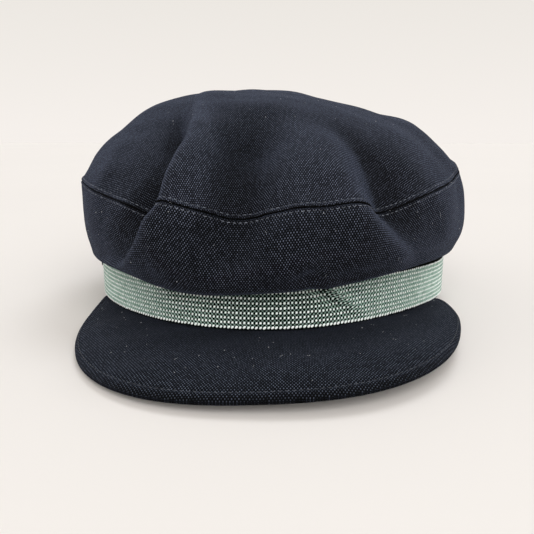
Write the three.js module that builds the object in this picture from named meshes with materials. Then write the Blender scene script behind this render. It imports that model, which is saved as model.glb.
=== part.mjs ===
// Soft peaked cap: a gathered cloth crown of two panels, a dotted ribbon round the band,
// a stitched two-ply peak and a small plain tab. Millimetres, +Z up, the front faces -Y.
import * as THREE from 'three';

// Driving sizes
const HALF_WIDTH = 88;          // oval of the ribbon's outer face, side to side
const HALF_LENGTH = 100;        // the same oval, front to back
const CLOTH = 1.6;              // wall of the crown panels
const LIP_CLOTH = 1.1;          // the same wall where it turns sharply round the lip
const RIBBON_WIDTH = 18.5;
const RIBBON_WALL = 1.5;
const SEWN_GAP = 0.3;           // clear gap between neighbouring pieces
const CROWN_TOP = { x: -7, y: 5, z: 105.5 };

// Dent that tips the ribbon's top edge inward over the forehead
const DENT = { from: -31, to: 27, ease: 15, depth: 4.5 };

// Peak: outline, plies and how it sits
const PEAK = {
  halfWidthLeft: 83.6,
  halfWidthRight: 85.8,
  reach: 116.6,
  middleY: -30.4,
  squareness: 2.5,
  tipLeft: -66,
  tipRight: 62,
  ply: 1.4,
  rootUnder: 3.4,
  camber: 2.2,
  edgeRest: 1.3,
  edgeRoll: 0.043,
  edgeSoft: 0.5,
};
const PEAK_COLUMNS = 40;
const PEAK_ROWS = 6;

// Small tab on the left side of the ribbon
const TAB = { from: -86, to: -77, bottom: 11.5, top: 18.5, wall: 0.8 };

// Sections round the cap, 45 degrees apart from the front toward +X.
// rim: band edge above the floor; band: push of the band off the oval;
// lip, bulge, seam: distance out from the oval and height;
// h35 to h92: height left at that percentage of the top panel's radius.
const SECTIONS = [
  { at: 0, rim: 10, band: 0, lipOut: 7.5, lipZ: 26, bulgeOut: 12, bulgeZ: 41,
    seamOut: 8.5, seamZ: 58.5, h35: 0.93, h60: 0.77, h80: 0.53, h92: 0.28 },
  { at: 45, rim: 11.2, band: -1.5, lipOut: 6.5, lipZ: 30.5, bulgeOut: 10, bulgeZ: 46,
    seamOut: 7.5, seamZ: 62, h35: 0.91, h60: 0.75, h80: 0.53, h92: 0.29 },
  { at: 90, rim: 3.2, band: 0, lipOut: 2.2, lipZ: 24.6, bulgeOut: 7, bulgeZ: 48,
    seamOut: 5, seamZ: 68, h35: 0.86, h60: 0.68, h80: 0.52, h92: 0.32 },
  { at: 135, rim: 0, band: 0, lipOut: 4.5, lipZ: 20.4, bulgeOut: 9.5, bulgeZ: 42,
    seamOut: 7, seamZ: 63, h35: 0.93, h60: 0.78, h80: 0.56, h92: 0.31 },
  { at: 180, rim: 0, band: 0, lipOut: 6, lipZ: 19.6, bulgeOut: 10.5, bulgeZ: 38,
    seamOut: 8, seamZ: 58, h35: 0.94, h60: 0.79, h80: 0.56, h92: 0.3 },
  { at: 225, rim: 0, band: 0, lipOut: 4.5, lipZ: 20.4, bulgeOut: 9, bulgeZ: 42,
    seamOut: 7, seamZ: 62, h35: 0.95, h60: 0.8, h80: 0.57, h92: 0.31 },
  { at: 270, rim: 3.6, band: 0, lipOut: 1.5, lipZ: 25, bulgeOut: 4.5, bulgeZ: 52,
    seamOut: 4.5, seamZ: 64.5, h35: 0.95, h60: 0.8, h80: 0.56, h92: 0.28 },
  { at: 315, rim: 9.6, band: -1.5, lipOut: 7, lipZ: 27.3, bulgeOut: 9.5, bulgeZ: 45,
    seamOut: 7.5, seamZ: 60.5, h35: 0.95, h60: 0.79, h80: 0.55, h92: 0.28 },
];

// Folds of the crown. Each starts on the seam and runs over the top panel as a straight valley.
// at: azimuth on the seam; heading: degrees from straight back toward +X; reach: length on top;
// lean: shift of the azimuth down at the lip; left, right: half widths of the two walls;
// depth, drop: push inward and sag at the seam; lip: share of it left at the lip.
const FOLDS = [
  { name: 'left', at: -31.5, heading: 2, reach: 95, lean: -9,
    left: 26, right: 10, depth: 10, drop: 2.5, lip: 0.35 },
  { name: 'middle', at: -5.5, heading: 6, reach: 75, lean: -7,
    left: 15, right: 15, depth: 5, drop: 3.5, lip: 0.4 },
  { name: 'right', at: 33, heading: -38, reach: 70, lean: 9,
    left: 11, right: 22, depth: 8, drop: 3.8, lip: 0.35 },
  { name: 'back_right', at: 128, heading: -145, reach: 60, lean: 8,
    left: 18, right: 13, depth: 5.5, drop: 2, lip: 0.2 },
  { name: 'back_left', at: -146, heading: 160, reach: 65, lean: -7,
    left: 12, right: 20, depth: 6, drop: 2, lip: 0.35 },
];

// Mesh rows: shares of the ribbon's width, steps along the side profile, shares of the top's radius
const BAND_ROWS = [0, 0.33, 0.67, 1];
const SIDE_ROWS = [1, 2, 3, 4, 5, 6, 6.7, 7.4, 8.1, 8.8, 9.4, 10];
const TOP_ROWS = [0.96, 0.905, 0.83, 0.74, 0.63, 0.51, 0.37, 0.2];
const FRONT_STEP = 3;
const BACK_STEP = 6.4;

const radians = (deg) => (deg * Math.PI) / 180;
const wrapDegrees = (deg) => ((((deg + 180) % 360) + 360) % 360) - 180;
const mix = (a, b, t) => a + (b - a) * t;

function smooth(t) {
  const c = Math.min(1, Math.max(0, t));
  return c * c * (3 - 2 * c);
}

// Catmull-Rom blend of four neighbouring values
function spline(p0, p1, p2, p3, t) {
  const a = 2 * p0 - 5 * p1 + 4 * p2 - p3;
  const b = 3 * p1 - p0 - 3 * p2 + p3;
  return 0.5 * (2 * p1 + (p2 - p0) * t + a * t * t + b * t * t * t);
}

// One column of the section table at any azimuth
function around(column, deg) {
  const count = SECTIONS.length;
  const place = (((deg % 360) + 360) % 360) / (360 / count);
  const i = Math.floor(place) % count;
  const value = (k) => SECTIONS[(i + k + count) % count][column];
  return spline(value(-1), value(0), value(1), value(2), place - Math.floor(place));
}

// Smooth curve through a list of values, with its ends carried on straight
function through(values, u) {
  const last = values.length - 1;
  const i = Math.min(last - 1, Math.max(0, Math.floor(u)));
  const before = i === 0 ? 2 * values[0] - values[1] : values[i - 1];
  const after = i === last - 1 ? 2 * values[last] - values[last - 1] : values[i + 2];
  return spline(before, values[i], values[i + 1], after, u - i);
}

// Height curve of the top panel: one at the middle, nought at the seam
function domeHeight(deg, rho) {
  const at = [0, 0.35, 0.6, 0.8, 0.92, 1];
  const columns = ['h35', 'h60', 'h80', 'h92'];
  const height = [1, ...columns.map((name) => around(name, deg)), 0];
  const slope = at.map((r, i) => {
    if (i === 0) return 0;
    const next = Math.min(at.length - 1, i + 1);
    return (height[next] - height[i - 1]) / (at[next] - at[i - 1]);
  });
  let i = 0;
  while (i < at.length - 2 && rho > at[i + 1]) i += 1;
  const span = at[i + 1] - at[i];
  const t = (rho - at[i]) / span;
  const t2 = t * t;
  const t3 = t2 * t;
  return (2 * t3 - 3 * t2 + 1) * height[i] + (t3 - 2 * t2 + t) * span * slope[i]
    + (3 * t2 - 2 * t3) * height[i + 1] + (t3 - t2) * span * slope[i + 1];
}

const rimHeight = (deg) => Math.max(0, around('rim', deg));

function ovalPoint(deg, out, z) {
  const a = radians(deg);
  return new THREE.Vector3((HALF_WIDTH + out) * Math.sin(a), -(HALF_LENGTH + out) * Math.cos(a), z);
}

// Ribbon's outer face: distance off the oval at a share of its width
function ribbonOut(deg, share) {
  const d = wrapDegrees(deg);
  const dent = smooth((d - DENT.from) / DENT.ease) * smooth((DENT.to - d) / DENT.ease);
  return around('band', deg) - DENT.depth * dent * share * share;
}

// Push of all folds at one plan position on the seam or the top panel
function foldsAt(x, y, weight) {
  let depth = 0;
  let drop = 0;
  for (const fold of FOLDS) {
    const seamOut = around('seamOut', fold.at);
    const start = ovalPoint(fold.at, seamOut, 0);
    const h = radians(fold.heading);
    const along = (x - start.x) * Math.sin(h) + (y - start.y) * Math.cos(h);
    const across = (x - start.x) * Math.cos(h) - (y - start.y) * Math.sin(h);
    const share = across / (across < 0 ? fold.left : fold.right);
    const amount = Math.exp(-share * share) * smooth(1 - along / fold.reach) * weight(fold);
    depth += fold.depth * amount;
    drop += fold.drop * amount;
  }
  return { depth, drop };
}

// Move a point inward toward the axis and downward
function pushed(point, deg, tilt, depth, drop) {
  const a = radians(deg);
  point.x -= Math.sin(a) * Math.cos(tilt) * depth;
  point.y += Math.cos(a) * Math.cos(tilt) * depth;
  point.z -= Math.sin(tilt) * depth + drop;
  return point;
}

const SEAM_TILT = 0.35;         // radians a fold's push tips downward at the seam
const SEAM_STEP = 10;           // last step of the side profile

// Side panel: u runs from the ribbon's top edge, over it to the hanging lip, up the bulge to the seam
function sidePoint(deg, u) {
  const top = rimHeight(deg) + RIBBON_WIDTH;
  const edge = ribbonOut(deg, 1) - RIBBON_WALL - SEWN_GAP;
  const face = edge + RIBBON_WALL + SEWN_GAP;
  const [lipOut, lipZ] = [around('lipOut', deg), around('lipZ', deg)];
  const [bulgeOut, bulgeZ] = [around('bulgeOut', deg), around('bulgeZ', deg)];
  const [seamOut, seamZ] = [around('seamOut', deg), around('seamZ', deg)];
  const reach = lipOut - face;
  const shelf = top + 1.8;
  const turn = 1.2 + 0.35 * reach;
  const profile = [
    [edge, top],
    [edge + 0.6, top + 1.2],
    [face + Math.min(0.6, 0.3 * reach), shelf],
    [mix(face, lipOut, 0.4), mix(shelf, lipZ, 0.4)],
    [mix(face, lipOut, 0.66), lipZ],
    [mix(face, lipOut, 0.93), lipZ + 0.25 * turn],
    [lipOut + 0.1 * turn, lipZ + turn],
    [mix(lipOut, bulgeOut, 0.62), mix(lipZ + turn, bulgeZ, 0.42)],
    [bulgeOut, bulgeZ],
    [mix(seamOut, bulgeOut, 0.62), mix(bulgeZ, seamZ, 0.55)],
    [seamOut, seamZ],
  ];
  const outs = profile.map(([out]) => out);
  const heights = profile.map(([, height]) => height);
  const point = ovalPoint(deg, through(outs, u), through(heights, u));
  const up = u / SEAM_STEP;
  const push = { depth: 0, drop: 0 };
  for (const fold of FOLDS) {
    const seam = ovalPoint(deg - fold.lean * (1 - up), around('seamOut', deg), 0);
    const share = mix(fold.lip, 1, smooth((u - 5.5) / 4.5));
    const part = foldsAt(seam.x, seam.y, (other) => (other === fold ? share : 0));
    push.depth += part.depth * smooth((u - 4.6) / 2);
    push.drop += part.drop * smooth((u - 5) / 5);
  }
  return pushed(point, deg, SEAM_TILT * smooth((u - 7) / 3), push.depth, push.drop);
}

// Top panel: rho is the share of the radius, one at the seam
function topPoint(deg, rho) {
  const seamZ = around('seamZ', deg);
  const point = ovalPoint(deg, around('seamOut', deg), 0).multiplyScalar(rho);
  point.x += CROWN_TOP.x * (1 - rho * rho);
  point.y += CROWN_TOP.y * (1 - rho * rho);
  point.z = mix(seamZ, CROWN_TOP.z, domeHeight(deg, rho));
  const { depth, drop } = foldsAt(point.x, point.y, () => 1);
  const tilt = mix(SEAM_TILT, Math.PI / 2, smooth((1 - rho) / 0.55));
  return pushed(point, deg, tilt, depth, drop);
}

// Azimuths of the mesh columns, close together in front where the folds are
function columnAngles() {
  const steps = [];
  let total = 0;
  while (total < 360) {
    const away = Math.abs(wrapDegrees(total));
    const step = mix(FRONT_STEP, BACK_STEP, smooth((away - 45) / 40));
    steps.push(step);
    total += step;
  }
  const angles = [];
  let deg = 0;
  for (const step of steps) {
    angles.push(deg);
    deg += (step * 360) / total;
  }
  return angles;
}

// Outward unit normals of a grid whose columns go round a ring
function ringNormals(grid) {
  return grid.map((row, r) => row.map((point, c) => {
    const count = row.length;
    const round = row[(c + 1) % count].clone().sub(row[(c + count - 1) % count]);
    const up = grid[Math.min(grid.length - 1, r + 1)][c].clone().sub(grid[Math.max(0, r - 1)][c]);
    return round.cross(up).normalize();
  }));
}

const moved = (point, direction, length) => point.clone().addScaledVector(direction, length);

function material(name, color) {
  const cloth = new THREE.MeshStandardMaterial({ color, roughness: 0.95, metalness: 0 });
  cloth.name = name;
  return cloth;
}

const CANVAS = material('canvas', 0x2a2e37);
const DOTTED = material('dotted_ribbon', 0xb9c9c0);
const TAPE = material('tape', 0x23262c);

// Closed body between two matching grids: outer face, inner face and the edges that join them.
// ring: the columns close on themselves; poles: a point that closes each face past its last row.
function sheetMesh(name, outer, inner, cloth, { ring = false, poles = null } = {}) {
  const rows = outer.length;
  const columns = outer[0].length;
  const points = [...outer.flat(), ...inner.flat()];
  const outside = (r, c) => r * columns + (c % columns);
  const inside = (r, c) => rows * columns + outside(r, c);
  const index = [];
  const quad = (a, b, c, d) => index.push(a, b, c, a, c, d);
  const spans = ring ? columns : columns - 1;
  for (let c = 0; c < spans; c += 1) {
    for (let r = 0; r < rows - 1; r += 1) {
      quad(outside(r, c), outside(r, c + 1), outside(r + 1, c + 1), outside(r + 1, c));
      quad(inside(r, c), inside(r + 1, c), inside(r + 1, c + 1), inside(r, c + 1));
    }
    quad(outside(0, c), inside(0, c), inside(0, c + 1), outside(0, c + 1));
    if (poles) {
      index.push(outside(rows - 1, c), outside(rows - 1, c + 1), points.length);
      index.push(inside(rows - 1, c + 1), inside(rows - 1, c), points.length + 1);
    } else {
      const r = rows - 1;
      quad(outside(r, c), outside(r, c + 1), inside(r, c + 1), inside(r, c));
    }
  }
  if (!ring) {
    const last = columns - 1;
    for (let r = 0; r < rows - 1; r += 1) {
      quad(outside(r, 0), outside(r + 1, 0), inside(r + 1, 0), inside(r, 0));
      quad(outside(r, last), inside(r, last), inside(r + 1, last), outside(r + 1, last));
    }
  }
  if (poles) points.push(...poles);
  const geometry = new THREE.BufferGeometry().setFromPoints(points);
  geometry.setIndex(index);
  geometry.computeVertexNormals();
  const mesh = new THREE.Mesh(geometry, cloth);
  mesh.name = name;
  return mesh;
}

// Crown: one grid for both panels, parted along the seam
const ANGLES = columnAngles();
const bandPoint = (deg, share) => ovalPoint(
  deg,
  ribbonOut(deg, share) - RIBBON_WALL - SEWN_GAP,
  rimHeight(deg) + RIBBON_WIDTH * share,
);
const crownGrid = [
  ...BAND_ROWS.map((share) => ANGLES.map((deg) => bandPoint(deg, share))),
  ...SIDE_ROWS.map((u) => ANGLES.map((deg) => sidePoint(deg, u))),
  ...TOP_ROWS.map((rho) => ANGLES.map((deg) => topPoint(deg, rho))),
];
const crownNormals = ringNormals(crownGrid);
const seamRow = BAND_ROWS.length + SIDE_ROWS.length - 1;

// Ends one panel short of the seam by half the gap, along its own surface
function partedRow(neighbour) {
  return crownGrid[seamRow].map((point, c) => {
    const along = crownGrid[neighbour][c].clone().sub(point).normalize();
    return moved(point, along, SEWN_GAP / 2);
  });
}

const inwardGrid = (grid, normals, walls) => grid.map(
  (row, r) => row.map((point, c) => moved(point, normals[r][c], -walls[r])),
);

// Wall of each row of the side panel, thinner at the lip
function sideWalls() {
  const lipStep = 4.5;
  const bend = SIDE_ROWS.map((u) => Math.exp(-(((u - lipStep) / 1.4) ** 2)));
  return [...BAND_ROWS.map(() => CLOTH), ...bend.map((t) => mix(CLOTH, LIP_CLOTH, t))];
}

const sideOuter = [...crownGrid.slice(0, seamRow), partedRow(seamRow - 1)];
const sideNormals = crownNormals.slice(0, seamRow + 1);
for (const normal of sideNormals[0]) normal.setZ(0).normalize();
const sideInner = inwardGrid(sideOuter, sideNormals, sideWalls());
const crownSide = sheetMesh('crown_side', sideOuter, sideInner, CANVAS, { ring: true });

const topOuter = [partedRow(seamRow + 1), ...crownGrid.slice(seamRow + 1)];
const topNormals = crownNormals.slice(seamRow);
const topInner = inwardGrid(topOuter, topNormals, topOuter.map(() => CLOTH));
const pole = topPoint(0, 0);
const poles = [pole, moved(pole, new THREE.Vector3(0, 0, -1), CLOTH)];
const crownTop = sheetMesh('crown_top', topOuter, topInner, CANVAS, { ring: true, poles });

// Ribbon round the band
const ribbonRow = (share, wall) => ANGLES.map(
  (deg) => ovalPoint(deg, ribbonOut(deg, share) - wall, rimHeight(deg) + RIBBON_WIDTH * share),
);
const ribbon = sheetMesh('ribbon', BAND_ROWS.map((share) => ribbonRow(share, 0)),
  BAND_ROWS.map((share) => ribbonRow(share, RIBBON_WALL)), DOTTED, { ring: true });

// Peak: t runs from the left tip to the right tip, v from the sewn root to the outer edge
function peakPoint(t, v, below) {
  const left = t < 0;
  const tip = left ? PEAK.tipLeft : PEAK.tipRight;
  const deg = Math.abs(t) * tip;
  const root = ovalPoint(deg, around('band', deg) - PEAK.rootUnder, rimHeight(deg) - SEWN_GAP);
  const turn = (t * Math.PI) / 2;
  const power = 2 / PEAK.squareness;
  const halfWidth = left ? PEAK.halfWidthLeft : PEAK.halfWidthRight;
  const x = halfWidth * Math.sign(t) * Math.abs(Math.sin(turn)) ** power;
  const y = PEAK.middleY - PEAK.reach * Math.abs(Math.cos(turn)) ** power;
  const rise = PEAK.edgeRest + PEAK.edgeRoll * x;
  const rest = 0.5 * (rise + Math.sqrt(rise * rise + PEAK.edgeSoft)) - 0.08;
  const thickness = 2 * PEAK.ply + SEWN_GAP;
  const edge = new THREE.Vector3(x, y, Math.max(0, rest) + thickness);
  const closing = smooth((Math.abs(t) - 0.8) / 0.2);
  const tipPoint = ovalPoint(tip, around('band', tip) + 1.2, rimHeight(tip) - SEWN_GAP - 0.5);
  const point = root.lerp(edge.lerp(tipPoint, closing), v);
  point.z += PEAK.camber * 6.75 * v * v * (1 - v) * Math.cos(turn) - below;
  return point;
}

function peakFace(below) {
  const grid = [];
  for (let r = 0; r <= PEAK_ROWS; r += 1) {
    const v = 1 - (1 - r / PEAK_ROWS) ** 1.15;
    const row = [];
    for (let c = 0; c <= PEAK_COLUMNS; c += 1) row.push(peakPoint(1 - (2 * c) / PEAK_COLUMNS, v, below));
    grid.push(row);
  }
  return grid;
}

const peakUpper = sheetMesh('peak_upper', peakFace(0), peakFace(PEAK.ply), CANVAS);
const underTop = PEAK.ply + SEWN_GAP;
const peakUnder = sheetMesh('peak_under', peakFace(underTop), peakFace(underTop + PEAK.ply), CANVAS);

// Side tab, lying along the ribbon
function tabFace(out) {
  const grid = [];
  for (let r = 0; r <= 1; r += 1) {
    const row = [];
    for (let c = 0; c <= 4; c += 1) {
      const deg = mix(TAB.from, TAB.to, c / 4);
      const height = mix(TAB.bottom, TAB.top, r);
      row.push(ovalPoint(deg, ribbonOut(deg, height / RIBBON_WIDTH) + out, rimHeight(deg) + height));
    }
    grid.push(row);
  }
  return grid;
}

const sideTab = sheetMesh('side_tab', tabFace(SEWN_GAP + TAB.wall), tabFace(SEWN_GAP), TAPE);

// The whole cap, centred over the middle of its footprint
const cap = new THREE.Group();
cap.name = 'hunting_cap';
cap.add(crownSide, crownTop, ribbon, peakUpper, peakUnder, sideTab);
const box = new THREE.Box3().setFromObject(cap);
const shift = new THREE.Vector3(-(box.min.x + box.max.x) / 2, -(box.min.y + box.max.y) / 2, -box.min.z);
for (const piece of cap.children) piece.geometry.translate(shift.x, shift.y, shift.z);

export default cap;
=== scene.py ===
# Soft peaked cap: fine cloth shapes and their materials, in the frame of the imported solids.
import math

import bpy
import numpy as np
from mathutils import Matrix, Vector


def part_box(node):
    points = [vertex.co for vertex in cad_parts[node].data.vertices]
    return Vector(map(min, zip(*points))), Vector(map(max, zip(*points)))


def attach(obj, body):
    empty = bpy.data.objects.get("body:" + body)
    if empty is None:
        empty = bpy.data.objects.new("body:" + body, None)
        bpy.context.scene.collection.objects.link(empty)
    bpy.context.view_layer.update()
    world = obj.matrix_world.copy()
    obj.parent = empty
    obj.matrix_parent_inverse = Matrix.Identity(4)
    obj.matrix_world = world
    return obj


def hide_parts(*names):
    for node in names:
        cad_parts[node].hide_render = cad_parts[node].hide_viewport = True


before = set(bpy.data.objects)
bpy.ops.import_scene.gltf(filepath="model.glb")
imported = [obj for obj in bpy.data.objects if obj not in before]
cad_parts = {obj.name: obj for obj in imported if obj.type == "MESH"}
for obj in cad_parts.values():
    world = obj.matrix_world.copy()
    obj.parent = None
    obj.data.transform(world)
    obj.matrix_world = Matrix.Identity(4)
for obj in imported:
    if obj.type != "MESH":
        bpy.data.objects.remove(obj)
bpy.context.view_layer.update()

# Sizes in millimetres, with the oval of the band centred on the origin and the front toward -Y
MM = 0.001
HALF_WIDTH = 88.0
HALF_LENGTH = 100.0
CLOTH = 1.6
LIP_CLOTH = 1.1
RIBBON_WIDTH = 18.5
RIBBON_WALL = 1.5
SEWN_GAP = 0.3
CROWN_TOP = (-7.0, 5.0, 105.5)

# Dent of the ribbon over the forehead, and the crease at its right end: a crest with a pocket beside it
DENT = {
    "from": -31, "to": 31, "slant": 15.5, "ease_left": 13, "ease_right": 4.5, "depth": 4.5, "power": 1.4,
    "crest": 2.8, "crest_width": 2, "pocket": 3.4, "pocket_back": 4.2, "pocket_width": 2.6,
    "crease_power": 1.5,
}

# Sag of the lip left of the front
LIP_SAG = {"at": -19, "width": 13, "depth": 2.6}

# Profile of the side panel: its way over the ribbon's top edge and the turn round the lip
SIDE = {"edge_out": 0.6, "edge_share": 0.3, "edge_up": 1.2, "shelf_up": 1.8, "turn": 1.2, "turn_share": 0.35}
SEAM_STEP = 10.0

# Steps of that profile at which the folds set in, and over how many steps they do
FOLD_STEPS = {"lip": 5.5, "depth": (4.6, 2), "drop": (5, 5), "tilt": (7, 3)}

# How far a fold's push tips downward at the seam, in radians, and the share of the top's radius over
# which it tips the rest of the way
SEAM_TILT = 0.35
TILT_OVER = 0.55

# Sections round the cap, 45 degrees apart from the front toward +X: height of the rim, push of the band
# off the oval, distance out and height of the lip, the bulge and the seam, and the height left at a
# percentage of the top panel's radius
SECTION_COLUMNS = (
    "rim", "band", "lip_out", "lip_z", "bulge_out", "bulge_z", "seam_out", "seam_z",
    "h35", "h60", "h80", "h92",
)
SECTION_ROWS = (
    (10, 0, 7.5, 26, 12, 41, 8.5, 58.5, 0.93, 0.77, 0.53, 0.28),
    (9.8, -1.5, 6.5, 31, 10, 46, 7.5, 62, 0.91, 0.75, 0.53, 0.29),
    (4.6, 1.8, 3.6, 26.4, 9.1, 45, 4.1, 69.6, 0.865, 0.665, 0.52, 0.21),
    (0, 0, 4.5, 20.4, 9.5, 42, 7, 63, 0.93, 0.78, 0.56, 0.31),
    (0, 0, 6, 19.6, 10.5, 38, 8, 58, 0.94, 0.79, 0.56, 0.30),
    (0, 0, 4.5, 20.4, 9, 42, 7, 62, 0.95, 0.80, 0.57, 0.31),
    (5.0, 0, 1.5, 26.6, 5.9, 47.5, 6.4, 64.5, 0.96, 0.80, 0.475, 0.245),
    (8.4, -1.5, 7, 28.7, 9.5, 45, 7.5, 60.5, 0.95, 0.79, 0.55, 0.28),
)
SECTIONS = {
    name: np.array(values, float) for name, values in zip(SECTION_COLUMNS, zip(*SECTION_ROWS))
}

# Folds of the crown: place on the seam, direction over the top, length, lean down the side,
# half widths of the two walls, push inward, sag, the share of both that is left at the lip, a sideways
# bend just past the seam, and the lengths over which it fades on the top and on the side. The first
# five are the solids' folds, the front three set closer to the photograph, and the others are small
# crests and creases between them.
FOLD_COLUMNS = (
    "at", "heading", "reach", "lean", "left", "right", "depth", "drop", "lip", "bend", "fade", "fall",
)
FOLD_ROWS = (
    (-28.5, -2, 95, -30, 24, 5.5, 12, 4.3, 0.45, 9.5, 78, 4.5),
    (-5.5, 6, 54, -7, 16, 15, 7, 3.0, 0.05, 0, 40, 2.9),
    (30.5, -34, 46, 32, 10, 22, 8, 3.8, 0.25, 0, 46, 4.5),
    (128, -145, 60, 8, 18, 13, 5.5, 2, 0.2, 0, 60, 4.5),
    (-146, 160, 65, -7, 12, 20, 6, 2, 0.35, 0, 65, 4.5),
    (-23.5, -2, 80, -30, 6, 9, -1.6, -0.6, 0.75, 9.5, 80, 4.5),
    (24, -28, 32, 32, 10, 7, -0.6, -0.4, 0.35, 0, 32, 4.5),
    (-46, 15, 55, -5, 4, 7, 0.9, 0.2, 0.3, 0, 55, 4.5),
    (14, -8, 50, 5, 6, 5, 0.9, 0.3, 0.6, 0, 50, 4.5),
    (62, -60, 60, 6, 8, 6, 1.0, 0.3, 0.5, 0, 60, 4.5),
    (-75, 60, 55, -6, 7, 8, 0.9, 0.3, 0.5, 0, 55, 4.5),
    (158, -165, 50, 6, 8, 7, 1.2, 0.4, 0.5, 0, 50, 4.5),
    (-112, 110, 50, -6, 7, 9, 1.1, 0.3, 0.5, 0, 50, 4.5),
    (97, -100, 50, 6, 9, 7, 1.0, 0.3, 0.5, 0, 50, 4.5),
)
FOLDS = [dict(zip(FOLD_COLUMNS, row)) for row in FOLD_ROWS]

# Where a fold's sideways bend begins, before the seam, and its length
BEND = {"before": 8, "over": 24}

# Peak: outline, plies and how it sits
PEAK = {
    "half_width_left": 81.8, "half_width_right": 84.5, "reach": 118.0, "middle_y": -34,
    "squareness": 2.48, "tip_left": -66, "tip_right": 66, "ply": 1.4, "root_under": 3.4,
    "camber": 2.2, "edge_rest": 3.2, "edge_roll": 0.038, "edge_soft": 0.5, "edge_sink": 0.08, "skew": 0.02,
    "closing_from": 0.8, "closing_over": 0.2, "tip_out": 1.2, "tip_under": 0.5,
}
# Makes v * v * (1 - v) one where it is highest
CAMBER_SCALE = 6.75

TAB = {
    "from": -86, "to": -77, "bottom": 11.5, "top": 18.5, "wall": 0.8, "columns": 25, "rows": 15,
    "mm_per_deg": 1.55,
}

# The oval's middle in the row frame, from the ribbon's own box
ribbon_low, ribbon_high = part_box("ribbon")
CENTRE = np.array([
    (ribbon_low[0] + ribbon_high[0]) / 2 / MM,
    (ribbon_low[1] + ribbon_high[1]) / 2 / MM,
    0.0,
])


def mix(a, b, t):
    return a + (b - a) * t


def smooth(t):
    c = np.clip(t, 0, 1)
    return c * c * (3 - 2 * c)


def rise(x, start, over):
    return smooth((x - start) / over)


def bell(x, width):
    return np.exp(-((x / width) ** 2))


# Catmull-Rom blend of four neighbouring values
def spline(p0, p1, p2, p3, t):
    a = 2 * p0 - 5 * p1 + 4 * p2 - p3
    b = 3 * p1 - p0 - 3 * p2 + p3
    return 0.5 * (2 * p1 + (p2 - p0) * t + a * t * t + b * t * t * t)


# One column of the section table at any azimuths
def around(column, deg):
    values = SECTIONS[column]
    count = len(values)
    place = np.mod(deg, 360) / (360 / count)
    i = np.floor(place).astype(int) % count
    near = [values[(i + k) % count] for k in (-1, 0, 1, 2)]
    return spline(*near, place - np.floor(place))


# Smooth curve through a list of values, with its ends carried on straight
def through(values, u):
    last = len(values) - 1
    i = int(min(last - 1, max(0, math.floor(u))))
    before = 2 * values[0] - values[1] if i == 0 else values[i - 1]
    after = 2 * values[last] - values[last - 1] if i == last - 1 else values[i + 2]
    return spline(before, values[i], values[i + 1], after, u - i)


# Height curve of the top panel: one at the middle, nought at the seam
def dome_height(deg, rho):
    at = (0, 0.35, 0.6, 0.8, 0.92, 1)
    one = np.ones_like(deg)
    height = [one, *(around(name, deg) for name in ("h35", "h60", "h80", "h92")), 0 * one]
    slope = [0 * one]
    for i in range(1, len(at)):
        after = min(len(at) - 1, i + 1)
        slope.append((height[after] - height[i - 1]) / (at[after] - at[i - 1]))
    i = 0
    while i < len(at) - 2 and rho > at[i + 1]:
        i += 1
    span = at[i + 1] - at[i]
    t = (rho - at[i]) / span
    return (
        (2 * t**3 - 3 * t**2 + 1) * height[i] + (t**3 - 2 * t**2 + t) * span * slope[i]
        + (3 * t**2 - 2 * t**3) * height[i + 1] + (t**3 - t**2) * span * slope[i + 1]
    )


def rim_height(deg):
    return np.maximum(0, around("rim", deg))


def oval_point(deg, out, z):
    a = np.radians(deg)
    x = (HALF_WIDTH + out) * np.sin(a)
    y = -(HALF_LENGTH + out) * np.cos(a)
    return np.stack([x, y, z + 0 * x], -1)


# Azimuth between -180 and 180
def signed(deg):
    return np.mod(deg + 180, 360) - 180


# Ribbon's outer face: distance off the oval at a share of its width
def ribbon_out(deg, share):
    d = signed(deg)
    end = DENT["to"] - DENT["slant"] * share
    dent = rise(d, DENT["from"], DENT["ease_left"]) * smooth((end - d) / DENT["ease_right"])
    crest = DENT["crest"] * bell(d - end, DENT["crest_width"])
    pocket = DENT["pocket"] * bell(d - end + DENT["pocket_back"], DENT["pocket_width"])
    crease = (crest - pocket) * share ** DENT["crease_power"]
    return around("band", deg) - DENT["depth"] * dent * share ** DENT["power"] + crease


# How far one fold reaches at plan positions on the seam or the top panel
def fold_amount(fold, x, y):
    at = np.array(float(fold["at"]))
    start = oval_point(at, around("seam_out", at), 0)
    h = math.radians(fold["heading"])
    along = (x - start[0]) * math.sin(h) + (y - start[1]) * math.cos(h)
    across = (x - start[0]) * math.cos(h) - (y - start[1]) * math.sin(h)
    bent = smooth((along + BEND["before"]) / BEND["over"]) - smooth(BEND["before"] / BEND["over"])
    across = across - fold["bend"] * bent
    fade = smooth((fold["reach"] - along) / fold["fade"])
    return bell(across, np.where(across < 0, fold["left"], fold["right"])) * fade


# Move points inward toward the axis and downward
def pushed(points, deg, tilt, depth, drop):
    a = np.radians(deg)
    inward = depth * math.cos(tilt)
    shift = np.stack([-np.sin(a) * inward, np.cos(a) * inward, -math.sin(tilt) * depth - drop], -1)
    return points + shift


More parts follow.
